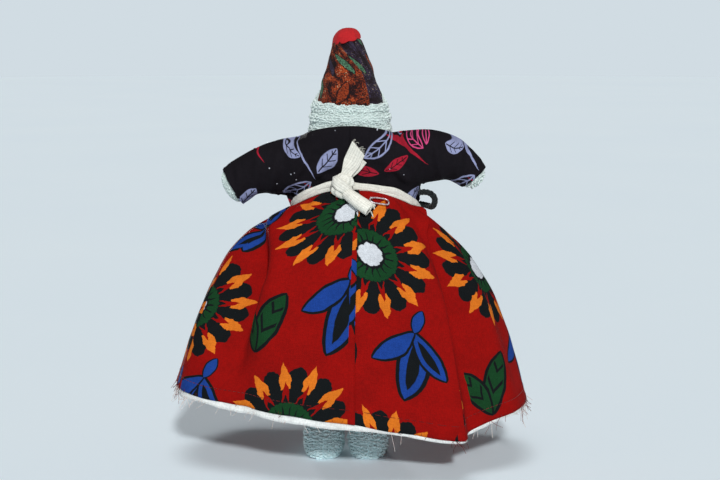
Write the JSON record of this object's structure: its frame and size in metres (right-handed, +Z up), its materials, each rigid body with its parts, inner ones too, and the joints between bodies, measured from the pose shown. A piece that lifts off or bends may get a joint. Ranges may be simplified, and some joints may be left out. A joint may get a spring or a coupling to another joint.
{
  "type": "rag doll",
  "caption": "Standing stuffed cloth doll with pointed hood, printed blouse with turned-out arms, bell skirt over a petticoat and a tied waistband.",
  "frame": {"origin": "on the surface that the doll stands on, under the middle of the skirt", "axes": "+Z up, -Y the way the doll faces, +X the doll's own left"},
  "size_m": [0.229, 0.1361, 0.28],
  "materials": {
    "terry": "looped mint-white towelling, worn to short uneven loops",
    "terry_shade": "looped mint-grey towelling of the legs and feet",
    "hood_cloth": "printed cotton, mottled brown, rust and black",
    "hood_tip": "bright red cotton, stitched over the point",
    "eye_thread": "black satin-stitched thread",
    "mouth_thread": "dark red stitched thread",
    "blouse_cloth": "black printed cotton with lilac and pink leaves",
    "core_cloth": "plain calico over the stuffing",
    "skirt_cloth": "red printed cotton with orange, black and green motifs",
    "petticoat_cloth": "plain white cotton with a frayed hem",
    "tape": "off-white woven cotton tape",
    "pin_metal": "plated steel wire",
    "cord_wool": "black braided wool"
  },
  "bodies": {
    "trunk": {"torso": "core_cloth", "blouse_body": "blouse_cloth", "skirt": "skirt_cloth", "petticoat": "petticoat_cloth", "waistband": "tape", "tie_knot": "tape", "tie_tail_upper": "tape", "tie_tail_lower": "tape", "waist_pin": "pin_metal", "hip_cord": "cord_wool"},
    "neck": {"neck_roll": "core_cloth"},
    "head_and_hood": {"head": "terry", "hood": "hood_cloth", "hood_tip": "hood_tip", "left_eye": "eye_thread", "right_eye": "eye_thread", "mouth": "mouth_thread"},
    "arm_left": {"left_sleeve": "blouse_cloth", "left_arm_roll": "terry"},
    "arm_right": {"right_sleeve": "blouse_cloth", "right_arm_roll": "terry"},
    "leg_left": {"left_leg": "terry_shade", "left_foot": "terry_shade"},
    "leg_right": {"right_leg": "terry_shade", "right_foot": "terry_shade"}
  },
  "joints": [
    {"name": "neck_turn", "type": "hinge", "parent": "trunk", "child": "neck", "pos_m": [0.0015, 0, 0.215], "axis": [0, 0, 1], "range_deg": [-60, 60]},
    {"name": "head_nod", "type": "hinge", "parent": "neck", "child": "head_and_hood", "pos_m": [0.0015, 0, 0.215], "axis": [1, 0, 0], "range_deg": [-10, 12]},
    {"name": "shoulder_left", "type": "hinge", "parent": "trunk", "child": "arm_left", "pos_m": [0.038, 0, 0.1928], "axis": [0, -1, 0], "range_deg": [-12, 50]},
    {"name": "shoulder_right", "type": "hinge", "parent": "trunk", "child": "arm_right", "pos_m": [-0.04, 0, 0.197], "axis": [0, 1, 0], "range_deg": [-15, 40]},
    {"name": "hip_left", "type": "hinge", "parent": "trunk", "child": "leg_left", "pos_m": [0.0192, 0, 0.114], "axis": [1, 0, 0], "range_deg": [-20, 20]},
    {"name": "hip_right", "type": "hinge", "parent": "trunk", "child": "leg_right", "pos_m": [-0.0102, 0, 0.114], "axis": [1, 0, 0], "range_deg": [-20, 20]}
  ]
}
